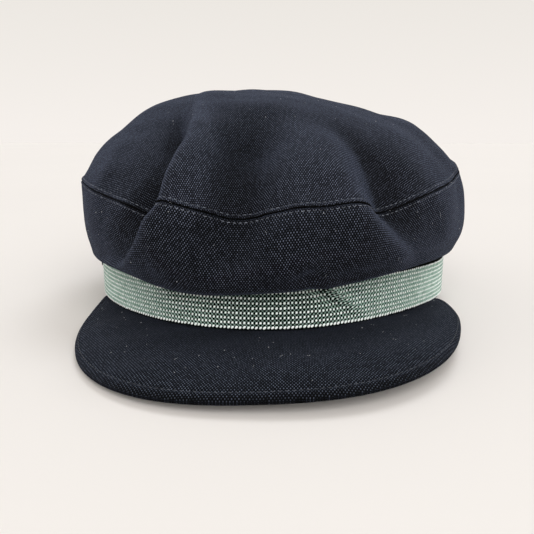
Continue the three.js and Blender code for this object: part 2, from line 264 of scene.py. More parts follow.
# Side panel: u runs from the ribbon's top edge, over it to the hanging lip, up the bulge to the seam
def side_row(deg, u):
    top = rim_height(deg) + RIBBON_WIDTH
    edge = ribbon_out(deg, 1) - RIBBON_WALL - SEWN_GAP
    face = edge + RIBBON_WALL + SEWN_GAP
    lip_out = around("lip_out", deg)
    lip_z = around("lip_z", deg) - LIP_SAG["depth"] * bell(signed(deg) - LIP_SAG["at"], LIP_SAG["width"])
    bulge_out, bulge_z = around("bulge_out", deg), around("bulge_z", deg)
    seam_out, seam_z = around("seam_out", deg), around("seam_z", deg)
    reach = lip_out - face
    shelf = top + SIDE["shelf_up"]
    turn = SIDE["turn"] + SIDE["turn_share"] * reach
    past_edge = face + np.minimum(SIDE["edge_out"], SIDE["edge_share"] * reach)
    outs = (
        edge, edge + SIDE["edge_out"], past_edge, mix(face, lip_out, 0.4),
        mix(face, lip_out, 0.66), mix(face, lip_out, 0.93), mix(lip_out, bulge_out, 0.26),
        mix(lip_out, bulge_out, 0.82), bulge_out, mix(seam_out, bulge_out, 0.7), seam_out,
    )
    heights = (
        top, top + SIDE["edge_up"], shelf, mix(shelf, lip_z, 0.4), lip_z, lip_z + 0.25 * turn, lip_z + turn,
        mix(lip_z + turn, bulge_z, 0.42), bulge_z, mix(bulge_z, seam_z, 0.55), seam_z,
    )
    points = oval_point(deg, through(outs, u), through(heights, u))
    depth, drop = 0.0, 0.0
    for fold in FOLDS:
        seam = oval_point(deg - fold["lean"] * (1 - u / SEAM_STEP), seam_out, 0)
        left_over = mix(fold["lip"], 1, rise(u, FOLD_STEPS["lip"], fold["fall"]))
        amount = fold_amount(fold, seam[:, 0], seam[:, 1]) * left_over
        depth = depth + fold["depth"] * amount * rise(u, *FOLD_STEPS["depth"])
        drop = drop + fold["drop"] * amount * rise(u, *FOLD_STEPS["drop"])
    return pushed(points, deg, SEAM_TILT * float(rise(u, *FOLD_STEPS["tilt"])), depth, drop)


# Top panel: rho is the share of the radius, one at the seam
def top_row(deg, rho):
    points = oval_point(deg, around("seam_out", deg), 0) * rho
    points[:, 0] += CROWN_TOP[0] * (1 - rho * rho)
    points[:, 1] += CROWN_TOP[1] * (1 - rho * rho)
    points[:, 2] = mix(around("seam_z", deg), CROWN_TOP[2], dome_height(deg, rho))
    amounts = [fold_amount(fold, points[:, 0], points[:, 1]) for fold in FOLDS]
    depth = sum(fold["depth"] * amount for fold, amount in zip(FOLDS, amounts))
    drop = sum(fold["drop"] * amount for fold, amount in zip(FOLDS, amounts))
    tilt = mix(SEAM_TILT, math.pi / 2, float(smooth((1 - rho) / TILT_OVER)))
    return pushed(points, deg, tilt, depth, drop)


# Ring at a share of the ribbon's width, a wall's depth behind its outer face
def band_row(deg, share, wall):
    return oval_point(deg, ribbon_out(deg, share) - wall, rim_height(deg) + RIBBON_WIDTH * share)


def unit(vectors):
    return vectors / np.maximum(np.linalg.norm(vectors, axis=-1, keepdims=True), 1e-9)


# Outward normals of a grid; with ring the columns go round and meet
def grid_normals(grid, ring):
    if ring:
        round_about = np.roll(grid, -1, 1) - np.roll(grid, 1, 1)
    else:
        round_about = np.gradient(grid, axis=1)
    return unit(np.cross(round_about, np.gradient(grid, axis=0)))


# Lengths along each column, from row zero
def lengths_up(grid):
    steps = np.linalg.norm(np.diff(grid, axis=0), axis=-1)
    return np.vstack([np.zeros((1, grid.shape[1])), np.cumsum(steps, 0)])


# Lengths round each row of a closed grid from one column, with the end repeated
def lengths_round(grid, column):
    steps = np.linalg.norm(np.roll(grid, -1, 1) - grid, axis=-1)
    run = np.concatenate([np.zeros((len(grid), 1)), np.cumsum(steps, 1)], 1)
    return run - run[:, [column]]


def add_to_scene(name, data):
    made = bpy.data.objects.new(name, data)
    bpy.context.scene.collection.objects.link(made)
    return made


# Mesh object from points in millimetres. Each corner of a face has the number of a point and of a UV.
def add_object(name, points, quads, triangles, uvs):
    mesh = bpy.data.meshes.new(name)
    faces = [*quads[:, :, 0].tolist(), *triangles[:, :, 0].tolist()]
    mesh.from_pydata(((points + CENTRE) * MM).tolist(), [], faces)
    order = np.concatenate([quads[:, :, 1].ravel(), triangles[:, :, 1].ravel()])
    mesh.uv_layers.new(name="weave").data.foreach_set("uv", uvs[order].astype(np.float32).ravel())
    mesh.shade_smooth()
    return add_to_scene(name, mesh)


# Closed cloth between an outer and an inner grid with the same columns. Each grid comes with its UVs,
# which have one more column where the columns go round. Poles close both grids past their last rows.
def add_shell(name, outer, inner, outer_uv, inner_uv, ring, poles=None):
    count, wide = outer.shape[1], outer_uv.shape[1]
    spans = np.arange(count if ring else count - 1)
    points = np.concatenate([outer.reshape(-1, 3), inner.reshape(-1, 3)])
    uvs = np.concatenate([outer_uv.reshape(-1, 2), inner_uv.reshape(-1, 2)])

    def corner(inside, r, c):
        first, first_uv = (outer.shape[0] * count, outer.shape[0] * wide) if inside else (0, 0)
        return np.stack(np.broadcast_arrays(first + r * count + c % count, first_uv + r * wide + c), -1)

    def quad(*corners):
        return np.stack(np.broadcast_arrays(*corners), -2).reshape(-1, 4, 2)

    up, down = np.arange(outer.shape[0] - 1)[:, None], np.arange(inner.shape[0] - 1)[:, None]
    last, deep = outer.shape[0] - 1, inner.shape[0] - 1
    after = spans + 1
    quads = [
        quad(corner(0, up, spans), corner(0, up, after), corner(0, up + 1, after), corner(0, up + 1, spans)),
        quad(
            corner(1, down, spans), corner(1, down + 1, spans),
            corner(1, down + 1, after), corner(1, down, after),
        ),
        quad(corner(0, 0, spans), corner(1, 0, spans), corner(1, 0, after), corner(0, 0, after)),
    ]
    triangles = np.zeros((0, 3, 2), int)
    if poles is None:
        quads.append(quad(
            corner(0, last, spans), corner(0, last, after), corner(1, deep, after), corner(1, deep, spans),
        ))
    else:
        tip, tip_uv = len(points), len(uvs)
        points = np.concatenate([points, poles["points"]])
        uvs = np.concatenate([uvs, poles["uvs"]])
        end = np.stack([np.full(len(spans), tip), np.full(len(spans), tip_uv)], -1)
        triangles = np.concatenate([
            np.stack([corner(0, last, spans), corner(0, last, after), end], -2),
            np.stack([corner(1, deep, after), corner(1, deep, spans), end + 1], -2),
        ])
    if not ring:
        for c, flip in ((0, False), (count - 1, True)):
            rows = np.arange(last)
            side = quad(
                corner(0, rows, c), corner(0, rows + 1, c), corner(1, rows + 1, c), corner(1, rows, c),
            )
            quads.append(side[:, ::-1] if flip else side)
    return add_object(name, points, np.concatenate(quads), triangles, uvs)


# Many copies of one small solid. Each copy has an origin and three scaled axes.
def add_copies(name, shape, origins, axes, tones):
    solid, faces = shape
    points = origins[:, None] + np.einsum("pk,nkx->npx", solid, axes)
    quads = [face for face in faces if len(face) == 4]
    corners = [face for face in faces if len(face) == 3]
    starts = (np.arange(len(origins)) * len(solid))[:, None, None]

    def numbered(some, sides):
        all_faces = (starts + np.array(some, int).reshape(1, -1, sides)).reshape(-1, sides)
        return np.stack([all_faces, all_faces], -1)

    uvs = np.repeat(np.stack([tones, 0 * tones], -1), len(solid), 0)
    return add_object(name, points.reshape(-1, 3), numbered(quads, 4), numbered(corners, 3), uvs)


# A round grain: rings of corners between two end points, along the first axis
def grain(rings, sides):
    points = [(-1.0, 0.0, 0.0)]
    for place, radius in rings:
        for k in range(sides):
            turn = 2 * math.pi * k / sides
            points.append((place, radius * math.cos(turn), radius * math.sin(turn)))
    points.append((1.0, 0.0, 0.0))
    faces = []
    end = len(points) - 1
    for k in range(sides):
        after = (k + 1) % sides
        faces.append((0, 1 + after, 1 + k))
        for r in range(len(rings) - 1):
            low, high = 1 + r * sides, 1 + (r + 1) * sides
            faces.append((low + k, low + after, high + after, high + k))
        top = 1 + (len(rings) - 1) * sides
        faces.append((top + k, top + after, end))
    return np.array(points), faces


random = np.random.default_rng(7)

# Pitch of the cloth's threads, round and down
WEAVE = (0.54, 0.8)

# Crown: one fine grid for both panels. Steps of its columns in degrees, finer at the left fold
COLUMN_STEP = 0.62
FINE = {"step": 0.28, "at": -31, "width": 18}


# Azimuths of the columns, with the end repeated
def column_angles():
    made = [-180.0]
    while made[-1] < 180:
        made.append(made[-1] + mix(COLUMN_STEP, FINE["step"], bell(made[-1] - FINE["at"], FINE["width"])))
    return -180 + (np.array(made) + 180) * 360 / (made[-1] + 180)


wide_angles = column_angles()
angles = wide_angles[:-1]
COLUMNS = len(angles)

# Rows: shares of the ribbon's width, steps of the side profile and shares of the top's radius, close
# together on both sides of the seam
NEAR_SEAM = np.array([0.16, 0.32, 0.62, 0.95, 1.3, 1.65, 2.0, 2.35, 2.75, 3.4])
SIDE_MM_PER_STEP = 8.5
TOP_RADIUS_MM = 135.0
band_shares = np.linspace(0, 1, 7)
side_steps = np.concatenate([
    np.linspace(0.3, 3.0, 10), np.linspace(3.2, 6.2, 22), np.linspace(6.3, 9.52, 36),
    SEAM_STEP - NEAR_SEAM[::-1] / SIDE_MM_PER_STEP, [SEAM_STEP],
])
top_shares = np.concatenate([1 - NEAR_SEAM / TOP_RADIUS_MM, 1 - np.linspace(0.033, 0.985, 72)])


def crown_rows(deg):
    return np.stack([
        *(band_row(deg, share, RIBBON_WALL + SEWN_GAP) for share in band_shares),
        *(side_row(deg, u) for u in side_steps),
        *(top_row(deg, rho) for rho in top_shares),
    ])


crown = crown_rows(angles)
seam = len(band_shares) + len(side_steps) - 1
side_grid, top_grid = crown[: seam + 1], crown[seam:]
side_from_seam = lengths_up(side_grid[::-1])[::-1]
top_from_seam = lengths_up(top_grid)

# Painted shade and light of the folds, with some wear of the cloth: -1 in the valleys, darkened as shade
# would darken them, to 1 on the ridges, lightened as light and wear would, by how far a point stands out
# from the points beside it, beyond the roundness of the crown
SHADE_AND_WEAR = {
    "name": "shade_and_wear", "beside_deg": 11, "full": 4.6, "fade": 0.35, "top_light": 0.8, "side_reach": 18,
    "peak_root": -2.2, "peak_edge": 1.3, "peak_reach": 0.8, "peak_rim": -1.0, "rim_width": 1.5,
}
beside = 0.5 * (crown_rows(angles - SHADE_AND_WEAR["beside_deg"]) + crown_rows(angles + SHADE_AND_WEAR["beside_deg"]))
facing_out = grid_normals(crown, True)
roundness = (crown[..., :2] * facing_out[..., :2]).sum(-1) * (1 - math.cos(math.radians(SHADE_AND_WEAR["beside_deg"])))
crown_shade_and_wear = np.clip((((crown - beside) * facing_out).sum(-1) - roundness) / SHADE_AND_WEAR["full"], -1, 1)
crown_shade_and_wear[: seam + 1] *= 1 - smooth(side_from_seam / SHADE_AND_WEAR["side_reach"])

# Small waves of the cloth on the side: waves round the crown, slant, start, height
SIDE_WAVES = ((9, 0.05, 0.6, 0.35), (14, -0.07, 2.1, 0.3), (23, 0.09, 4.4, 0.2), (37, -0.12, 1.2, 0.12))
# The same on the top: wave length, direction, start, height
TOP_WAVES = ((58, 25, 0.4, 0.5), (37, -40, 2.6, 0.35), (24, 70, 5.0, 0.22), (15, 10, 1.1, 0.12))
# Relief of the panels' edges: a dark groove, a raised welt and the dip of the stitches
TOP_SEAM = {"groove": 0.65, "groove_width": 0.3, "welt": 0.35, "welt_width": 2.0, "stitch": 2.0, "dip": 0.3}
SIDE_SEAM = {"groove": 0.65, "groove_width": 0.3, "welt": 0.12, "welt_width": 1.2, "stitch": 1.35, "dip": 0.1}
WELT_FADE = {"early": 0.5, "over": 0.9}
DIP_WIDTH = 0.35
# Puckers along the seam: waves round it, start, and the height, waves and start of their sway
PUCKER_WAVES = ((47, 0.4, 1.5, 7, 0), (29, 2, 1.1, 5, 1))
PUCKER = {"height": 0.15, "reach": 5.0}
# Distances from the seam over which the small waves set in, and the lip's step on the side profile
WAVE_FADE = {"side": 12, "top": 14}
LIP = {"step": 4.5, "fade": 2, "thin": 1.4}


def seam_relief(edge, distance, deg):
    a = np.radians(deg)
    pucker = sum(
        np.sin(turns * a + start + sway * np.sin(sway_turns * a + sway_start))
        for turns, start, sway, sway_turns, sway_start in PUCKER_WAVES
    )
    welt_end = edge["welt_width"] - WELT_FADE["early"]
    welt = edge["welt"] * (1 - rise(distance, welt_end, WELT_FADE["over"]))
    return (
        welt - (edge["groove"] + edge["welt"]) * bell(distance, edge["groove_width"])
        - edge["dip"] * bell(distance - edge["stitch"], DIP_WIDTH)
        + PUCKER["height"] * pucker * bell(distance, PUCKER["reach"])
    )


side_relief = sum(
    height * np.sin(turns * np.radians(angles) + slant * side_from_seam + start)
    for turns, slant, start, height in SIDE_WAVES
)
from_lip = np.concatenate([0 * band_shares, rise(side_steps, LIP["step"], LIP["fade"])])[:, None]
side_relief = side_relief * smooth(side_from_seam / WAVE_FADE["side"]) * from_lip
side_relief += seam_relief(SIDE_SEAM, side_from_seam, angles) * from_lip
top_relief = 0
for length, heading, start, height in TOP_WAVES:
    h = math.radians(heading)
    place = top_grid[..., 0] * math.sin(h) + top_grid[..., 1] * math.cos(h)
    top_relief = top_relief + height * np.sin(2 * math.pi * place / length + start)
top_relief = top_relief * smooth(top_from_seam / WAVE_FADE["top"])
top_relief = top_relief + seam_relief(TOP_SEAM, top_from_seam, angles)
relief = np.concatenate([side_relief, top_relief[1:]])
crown = crown + grid_normals(crown, True) * relief[..., None]
crown_normals = grid_normals(crown, True)
crown_normals[0, :, 2] = 0
crown_normals = unit(crown_normals)

# The panels are parted along the seam
side_grid, top_grid = crown[: seam + 1].copy(), crown[seam:].copy()
side_grid[-1] = mix(side_grid[-1], side_grid[-2], 0.5)
top_grid[0] = mix(top_grid[0], top_grid[1], 0.5)
side_normals, top_normals = crown_normals[: seam + 1], crown_normals[seam:]

# Inner faces, with fewer rows
side_walls = mix(CLOTH, LIP_CLOTH, bell(side_steps - LIP["step"], LIP["thin"]))
walls = np.concatenate([0 * band_shares + CLOTH, side_walls])
inner_side = np.array(sorted({0, 2, 4, 6, *range(8, seam - 8, 4), seam - 5, seam}))
inner_top = np.array([0, 4, 9, *range(13, len(top_grid) - 1, 6), len(top_grid) - 1])
side_inner = (side_grid - side_normals * walls[:, None, None])[inner_side]
top_inner = (top_grid - top_normals * CLOTH)[inner_top]

# Weave coordinates in thread pitches. On the side they run round from the front and down from the seam.
# Past EVEN_FROM degrees the rows are evened to meet at the back, at the mean length of the rows from
# USUAL_FROM up. The run down is evened over EVEN_COLUMNS each way. The top is laid flat from its middle.
EVEN_FROM = 55
EVEN_COLUMNS = 26
USUAL_FROM = 28
front = int(np.argmin(np.abs(angles)))
round_run = lengths_round(side_grid, front)
usual_run = round_run[len(band_shares) + USUAL_FROM :].mean(0)
to_left, to_right = usual_run[0] - round_run[:, :1], usual_run[-1] - round_run[:, -1:]
evened = smooth((np.abs(wide_angles) - EVEN_FROM) / (180 - EVEN_FROM))
round_run += np.where(wide_angles < 0, to_left, to_right) * evened
usual_round = usual_run[-1] - usual_run[0]
threads_round = 2 * round(usual_round / WEAVE[0] / 2)
side_uv = np.empty((seam + 1, COLUMNS + 1, 2))
side_uv[..., 0] = round_run / usual_round * threads_round
down = lengths_up(side_grid[::-1])[::-1]
down = np.mean([np.roll(down, shift, 1) for shift in range(-EVEN_COLUMNS, EVEN_COLUMNS + 1)], 0)
side_uv[..., 1] = -np.concatenate([down, down[:, :1]], 1) / WEAVE[1]
from_middle = lengths_up(top_grid[::-1])[::-1]
from_middle = np.concatenate([from_middle, from_middle[:, :1]], 1)
top_run = lengths_round(top_grid, front)
turn = 2 * math.pi * top_run / (top_run[:, -1:] - top_run[:, :1])
top_uv = np.stack([from_middle * np.sin(turn) / WEAVE[0], -from_middle * np.cos(turn) / WEAVE[1]], -1)

crown_side = add_shell("crown_side_cloth", side_grid, side_inner, side_uv, side_uv[inner_side], True)
middle = top_grid[-1].mean(0)
middle_uv = top_uv[-1].mean(0)
crown_top = add_shell(
    "crown_top_cloth", top_grid, top_inner, top_uv, top_uv[inner_top], True,
    {"points": np.array([middle, middle - (0, 0, CLOTH)]), "uvs": np.array([middle_uv, middle_uv])},
)

# Shade in the seam: its width, and the rows of each panel that are black
SEAM_SHADE = {"name": "seam_shade", "width": 0.3, "black_rows": 2}


# Values of a piece's outer grid, and of its inner grid where they are given, for its material
def keep_values(piece, name, values):
    kept = np.zeros(len(piece.data.vertices), np.float32)
    kept[: values.size] = values.ravel()
    piece.data.attributes.new(name, "FLOAT", "POINT").data.foreach_set("value", kept)


# Each panel keeps the painted shade of its seam, and the painted shade and light of its folds with some wear
for piece, distance, shade_and_wear in (
    (crown_side, side_from_seam, crown_shade_and_wear[: seam + 1]), (crown_top, top_from_seam, crown_shade_and_wear[seam:]),
):
    keep_values(piece, SEAM_SHADE["name"], bell(distance, SEAM_SHADE["width"]))
    keep_values(piece, SHADE_AND_WEAR["name"], shade_and_wear)

# Ribbon: a dark ground behind an open net of pale diagonal threads, with a raised dot on each crossing
DOT_ROWS = 10
DOT_PITCH = 1.68
GROUND = 0.6
MEAN_RADIUS = 94.1
HEM = {"width": 0.5, "raised": 0.6}
RIBBON_ROWS = 31
INNER_EVERY = 5
dot_columns = round(2 * math.pi * MEAN_RADIUS / DOT_PITCH)
ribbon_shares = np.linspace(0, 1, RIBBON_ROWS)


def ribbon_face(deg, share):
    return band_row(deg, share, 0)


ribbon_rows = np.stack([ribbon_face(angles, share) for share in ribbon_shares])
ribbon_normals = grid_normals(ribbon_rows, True)
hem = bell(np.minimum(ribbon_shares, 1 - ribbon_shares) * RIBBON_WIDTH, HEM["width"])[:, None, None]
ribbon_outer = ribbon_rows - ribbon_normals * GROUND * (1 - HEM["raised"] * hem)
inner_ribbon = np.arange(0, RIBBON_ROWS, INNER_EVERY)
ribbon_inner = np.stack([band_row(angles, share, RIBBON_WALL) for share in ribbon_shares[inner_ribbon]])
ribbon_uv = np.empty((len(ribbon_shares), COLUMNS + 1, 2))
ribbon_uv[..., 0] = wide_angles / 360 * dot_columns
ribbon_uv[..., 1] = ribbon_shares[:, None] * DOT_ROWS
ribbon = add_shell("ribbon_ground", ribbon_outer, ribbon_inner, ribbon_uv, ribbon_uv[inner_ribbon], True)


# Directions across, up and out of the ribbon, from points close by
def ribbon_frame(deg, share):
    near_deg, near_share = 0.1, 0.02
    across = unit(ribbon_face(deg + near_deg, share) - ribbon_face(deg - near_deg, share))
    upward = unit(ribbon_face(deg, share + near_share) - ribbon_face(deg, share - near_share))
    return across, upward, unit(np.cross(across, upward))


# Dots: half sizes, slant, depth in the ground, and how much sizes and places vary
DOT = {
    "across": 0.45, "up": 0.47, "high": 0.24, "slant": 0.2, "lean": 0.2, "sunk": 0.17,
    "sizes": 0.07, "places": 0.05,
}
EDGE_DOT = {"across": 0.64, "up": 0.54, "slant": 0.42}
dot_deg = -180 + (np.arange(dot_columns) + 0.5) * 360 / dot_columns
origins, axes, tones = [], [], []
for row in range(DOT_ROWS):
    share = (row + 0.5) / DOT_ROWS
    across, upward, outward = ribbon_frame(dot_deg, share)
    kind = {**DOT, **EDGE_DOT} if row == 0 else DOT
    grow = 1 + DOT["sizes"] * random.standard_normal((dot_columns, 1))
    shift = DOT["places"] * random.standard_normal((dot_columns, 2))
    here = ribbon_face(dot_deg, share)
    origins.append(here + across * shift[:, :1] + upward * shift[:, 1:] - outward * DOT["sunk"])
    axes.append(np.stack([
        outward * kind["high"] * grow,
        (across + upward * kind["slant"]) * kind["across"] * grow,
        (upward - across * DOT["lean"] * kind["slant"]) * kind["up"] * grow,
    ], 1))
    tones.append(random.random(dot_columns))
DOT_RINGS = ((-0.45, 0.86), (0.4, 1.0), (0.85, 0.74))
ribbon_dots = add_copies(
    "ribbon_dots", grain(DOT_RINGS, 8), np.concatenate(origins), np.concatenate(axes), np.concatenate(tones),
)

# Threads of the net between the dots
LINK = {"thick": 0.06, "high": 0.34, "sunk": 0.32}
LINK_RINGS = ((-0.8, 1.0), (0.8, 1.0))
link_deg = dot_deg + 180 / dot_columns
row_pitch = RIBBON_WIDTH / DOT_ROWS
origins, axes = [], []
for row in range(1, DOT_ROWS):
    share = row / DOT_ROWS
    across, upward, outward = ribbon_frame(link_deg, share)
    here = ribbon_face(link_deg, share) - outward * LINK["sunk"]
    for side in (-1, 1):
        along = 0.5 * (across * DOT_PITCH * side + upward * row_pitch)
        origins.append(here)
        thickness = unit(np.cross(outward, along)) * LINK["thick"]
        axes.append(np.stack([along, thickness, outward * LINK["high"]], 1))
link_places = np.concatenate(origins)
ribbon_links = add_copies(
    "ribbon_links", grain(LINK_RINGS, 4), link_places, np.concatenate(axes),
    random.random(len(link_places)),
)


# Peak: t runs from the left tip to the right tip, v from the sewn root to the outer edge
def peak_row(t, v):
    left = t < 0
    tip = np.where(left, PEAK["tip_left"], PEAK["tip_right"]).astype(float)
    deg = np.abs(t) * tip
    root = oval_point(deg, around("band", deg) - PEAK["root_under"], rim_height(deg) - SEWN_GAP)
    turn = t * math.pi / 2
    power = 2 / PEAK["squareness"]
    half_width = np.where(left, PEAK["half_width_left"], PEAK["half_width_right"])
    x = half_width * np.sign(t) * np.abs(np.sin(turn)) ** power
    y = PEAK["middle_y"] - PEAK["reach"] * np.abs(np.cos(turn)) ** power + PEAK["skew"] * x
    roll = PEAK["edge_rest"] + PEAK["edge_roll"] * x
    rest = 0.5 * (roll + np.sqrt(roll**2 + PEAK["edge_soft"])) - PEAK["edge_sink"]
    edge = np.stack([x, y, np.maximum(0, rest) + 2 * PEAK["ply"] + SEWN_GAP], -1)
    closing = rise(np.abs(t), PEAK["closing_from"], PEAK["closing_over"])[:, None]
    tip_z = rim_height(tip) - SEWN_GAP - PEAK["tip_under"]
    tip_point = oval_point(tip, around("band", tip) + PEAK["tip_out"], tip_z)
    points = mix(root, mix(edge, tip_point, closing), v)
    points[:, 2] += PEAK["camber"] * CAMBER_SCALE * v * v * (1 - v) * np.cos(turn)
    return points


PEAK_COLUMNS = 420
# Rows close to the edge, by their share of the width from it
PEAK_EDGE = np.array([
    0, 0.0015, 0.004, 0.008, 0.013, 0.019, 0.026, 0.034, 0.043, 0.053, 0.065, 0.08, 0.1, 0.12,
])
peak_t = 1 - 2 * np.arange(PEAK_COLUMNS + 1) / PEAK_COLUMNS
peak_v = np.concatenate([np.linspace(0, 0.86, 40), 1 - PEAK_EDGE[::-1]])
peak_top = np.stack([peak_row(peak_t, v) for v in peak_v])
from_edge = lengths_up(peak_top[::-1])[::-1]

# Relief of the peak: the row of stitches, the rounded edge, and small waves with their height, shares of
# x and y, length and start
PEAK_STITCH = {"inside": 3.2, "dip": 0.3, "dip_width": 0.6, "ends": 8, "brightest": 0.25}
PEAK_ROUND = {"over": 2.0, "share": 0.75}
PEAK_WAVES = ((0.22, 1, 0.4, 47, 0.8), (0.16, 0.5, -1, 29, 2.0))
PEAK_WAVE_FADE = 9
peak_waves = 0
for height, x_share, y_share, length, start in PEAK_WAVES:
    place = x_share * peak_top[..., 0] + y_share * peak_top[..., 1]
    peak_waves = peak_waves + height * np.sin(2 * math.pi * place / length + start)
peak_waves = peak_waves * smooth(from_edge / PEAK_WAVE_FADE)
edge_round = 1 - np.sqrt(1 - (1 - np.clip(from_edge / PEAK_ROUND["over"], 0, 1)) ** 2)
edge_drop = PEAK_ROUND["share"] * PEAK["ply"] * edge_round
stitch_dip = PEAK_STITCH["dip"] * bell(from_edge - PEAK_STITCH["inside"], PEAK_STITCH["dip_width"])


# The peak's top face, moved down
def lowered(depth):
    grid = peak_top.copy()
    grid[..., 2] -= depth
    return grid


peak_face = lowered(edge_drop + stitch_dip - peak_waves)
peak_run = peak_top[:1, :, 1] - lengths_up(peak_face)
peak_uv = np.stack([peak_top[..., 0] / WEAVE[0], peak_run / WEAVE[1]], -1)
peak_upper = add_shell("peak_upper_cloth", peak_face, lowered(PEAK["ply"]), peak_uv, peak_uv, False)
# Painted shade and light of the peak: dark at the root under the crown's overhang, lighter toward the edge,
# darker on the rounded rim, and darkest under the edge and on the inner faces near it
peak_shade_and_wear = mix(SHADE_AND_WEAR["peak_root"], SHADE_AND_WEAR["peak_edge"], smooth(peak_v / SHADE_AND_WEAR["peak_reach"]))
rim_share = bell(from_edge, SHADE_AND_WEAR["rim_width"])
shaded_inside_rim = SHADE_AND_WEAR["peak_root"] * rim_share
face_shade_and_wear = mix(peak_shade_and_wear[:, None], SHADE_AND_WEAR["peak_rim"], rim_share)
keep_values(peak_upper, SHADE_AND_WEAR["name"], np.stack([face_shade_and_wear, shaded_inside_rim]))
under_top = PEAK["ply"] + SEWN_GAP
peak_under = add_shell(
    "peak_under_cloth", lowered(under_top), lowered(under_top + PEAK["ply"] - edge_drop),
    peak_uv, peak_uv, False,
)
keep_values(peak_under, SHADE_AND_WEAR["name"], np.stack([shaded_inside_rim, shaded_inside_rim]))


# Stitches: sizes, and how much they turn off their row
STITCH = {"length": 1.4, "spacing": 2.2, "radius": 0.16, "turn": 0.12}


# Places along a path of points, with the directions along it, across it and out
def path_frames(points, normals, spacing, closed):
    if closed:
        points, normals = np.vstack([points, points[:1]]), np.vstack([normals, normals[:1]])
    run = np.concatenate([[0], np.cumsum(np.linalg.norm(np.diff(points, axis=0), axis=1))])
    count = int(run[-1] / spacing)
    at = (np.arange(count) + 0.5) * run[-1] / count

    def sample(values, places):
        return np.stack([np.interp(places, run, values[:, k]) for k in range(3)], -1)

    near = 0.4
    along = unit(sample(points, at + near) - sample(points, at - near))
    outward = unit(sample(normals, at))
    return sample(points, at), along, unit(np.cross(outward, along)), outward


def stitch_copies(paths):
    origins, axes, tones = [], [], []
    for points, normals, closed, brightest in paths:
        here, along, across, outward = path_frames(points, normals, STITCH["spacing"], closed)
        turn = STITCH["turn"] * random.standard_normal((len(here), 1))
        along = unit(along + across * turn)
        origins.append(here)
        tones.append(brightest * random.random(len(here)))
        axes.append(np.stack([
            along * STITCH["length"] / 2, across * STITCH["radius"], outward * STITCH["radius"],
        ], 1))
    return np.concatenate(origins), np.concatenate(axes), np.concatenate(tones)


side_path = int(np.argmin(np.abs(side_from_seam.mean(1) - SIDE_SEAM["stitch"])))
top_path = int(np.argmin(np.abs(top_from_seam.mean(1) - TOP_SEAM["stitch"])))
peak_normals = -grid_normals(peak_face, False)
peak_normals *= np.sign(peak_normals[..., 2:])
peak_line = int(np.argmin(np.abs(from_edge[:, PEAK_COLUMNS // 2] - PEAK_STITCH["inside"])))
inside_ends = slice(PEAK_STITCH["ends"], -PEAK_STITCH["ends"])
STITCH_RINGS = ((-0.85, 0.5), (-0.45, 0.95), (0.45, 0.95), (0.85, 0.5))
stitches = add_copies("stitches", grain(STITCH_RINGS, 6), *stitch_copies([
    (side_grid[side_path], side_normals[side_path], True, 1.0),
    (top_grid[top_path], top_normals[top_path], True, 1.0),
    (
        peak_face[peak_line, inside_ends], peak_normals[peak_line, inside_ends],
        False, PEAK_STITCH["brightest"],
    ),
]))

# Side tab, lying along the ribbon
tab_deg = np.linspace(TAB["from"], TAB["to"], TAB["columns"])
tab_heights = np.linspace(TAB["bottom"], TAB["top"], TAB["rows"])


def tab_grid(out):
    return np.stack([
        oval_point(tab_deg, ribbon_out(tab_deg, h / RIBBON_WIDTH) + out, rim_height(tab_deg) + h)
        for h in tab_heights
    ])


tab_uv = np.stack(np.meshgrid(tab_deg * TAB["mm_per_deg"] / WEAVE[0], tab_heights / WEAVE[1]), -1)
side_tab = add_shell(
    "side_tab_tape", tab_grid(SEWN_GAP + TAB["wall"]), tab_grid(SEWN_GAP), tab_uv, tab_uv, False,
)

# Lint: specks and short loose fibres caught on the canvas, with their half sizes
SPECK = {"count": 230, "length": 0.182, "radius": 0.13, "sizes": 0.35, "above": 0.05}
FIBRE = {"count": 70, "length": 0.8, "radius": 0.04, "sizes": 0.4, "above": 0.06}
# Where it lies, off the edges, and the share of it on each face
LINT_FIELDS = (
    (side_grid[-50:], side_normals[-50:], 0.3),
    (top_grid[:-12], top_normals[:-12], 0.45),
    (peak_face[8:-12, 20:-20], peak_normals[8:-12, 20:-20], 0.2),
)


def scattered(count):
    places, normals = [], []
    for grid, grid_n, share in LINT_FIELDS:
        some = int(count * share)
        r = random.integers(0, grid.shape[0], some)
        c = random.integers(0, grid.shape[1], some)
        places.append(grid[r, c])
        normals.append(grid_n[r, c])
    return np.concatenate(places), np.concatenate(normals)


def lint_axes(normals, kind):
    count = len(normals)
    loose = unit(random.standard_normal((count, 3)))
    along = unit(loose - normals * (loose * normals).sum(1, keepdims=True))
    size = np.exp(kind["sizes"] * random.standard_normal((count, 1)))
    across = np.cross(normals, along)
    return np.stack([
        along * kind["length"] * size, across * kind["radius"] * size, normals * kind["radius"],
    ], 1)


LINT_RINGS = ((-0.5, 0.8), (0.5, 0.8))
speck_places, speck_normals = scattered(SPECK["count"])
fibre_places, fibre_normals = scattered(FIBRE["count"])
lint_places = np.concatenate([
    speck_places + SPECK["above"] * speck_normals, fibre_places + FIBRE["above"] * fibre_normals,
])
lint = add_copies(
    "lint", grain(LINT_RINGS, 5), lint_places,
    np.concatenate([lint_axes(speck_normals, SPECK), lint_axes(fibre_normals, FIBRE)]),
    random.random(len(lint_places)),
)


def fill_ramp(ramp, stops):
    while len(ramp.elements) < len(stops):
        ramp.elements.new(0.5)
    for element, (place, colour) in zip(ramp.elements, stops):
        element.position = place
        element.color = (*colour, 1)


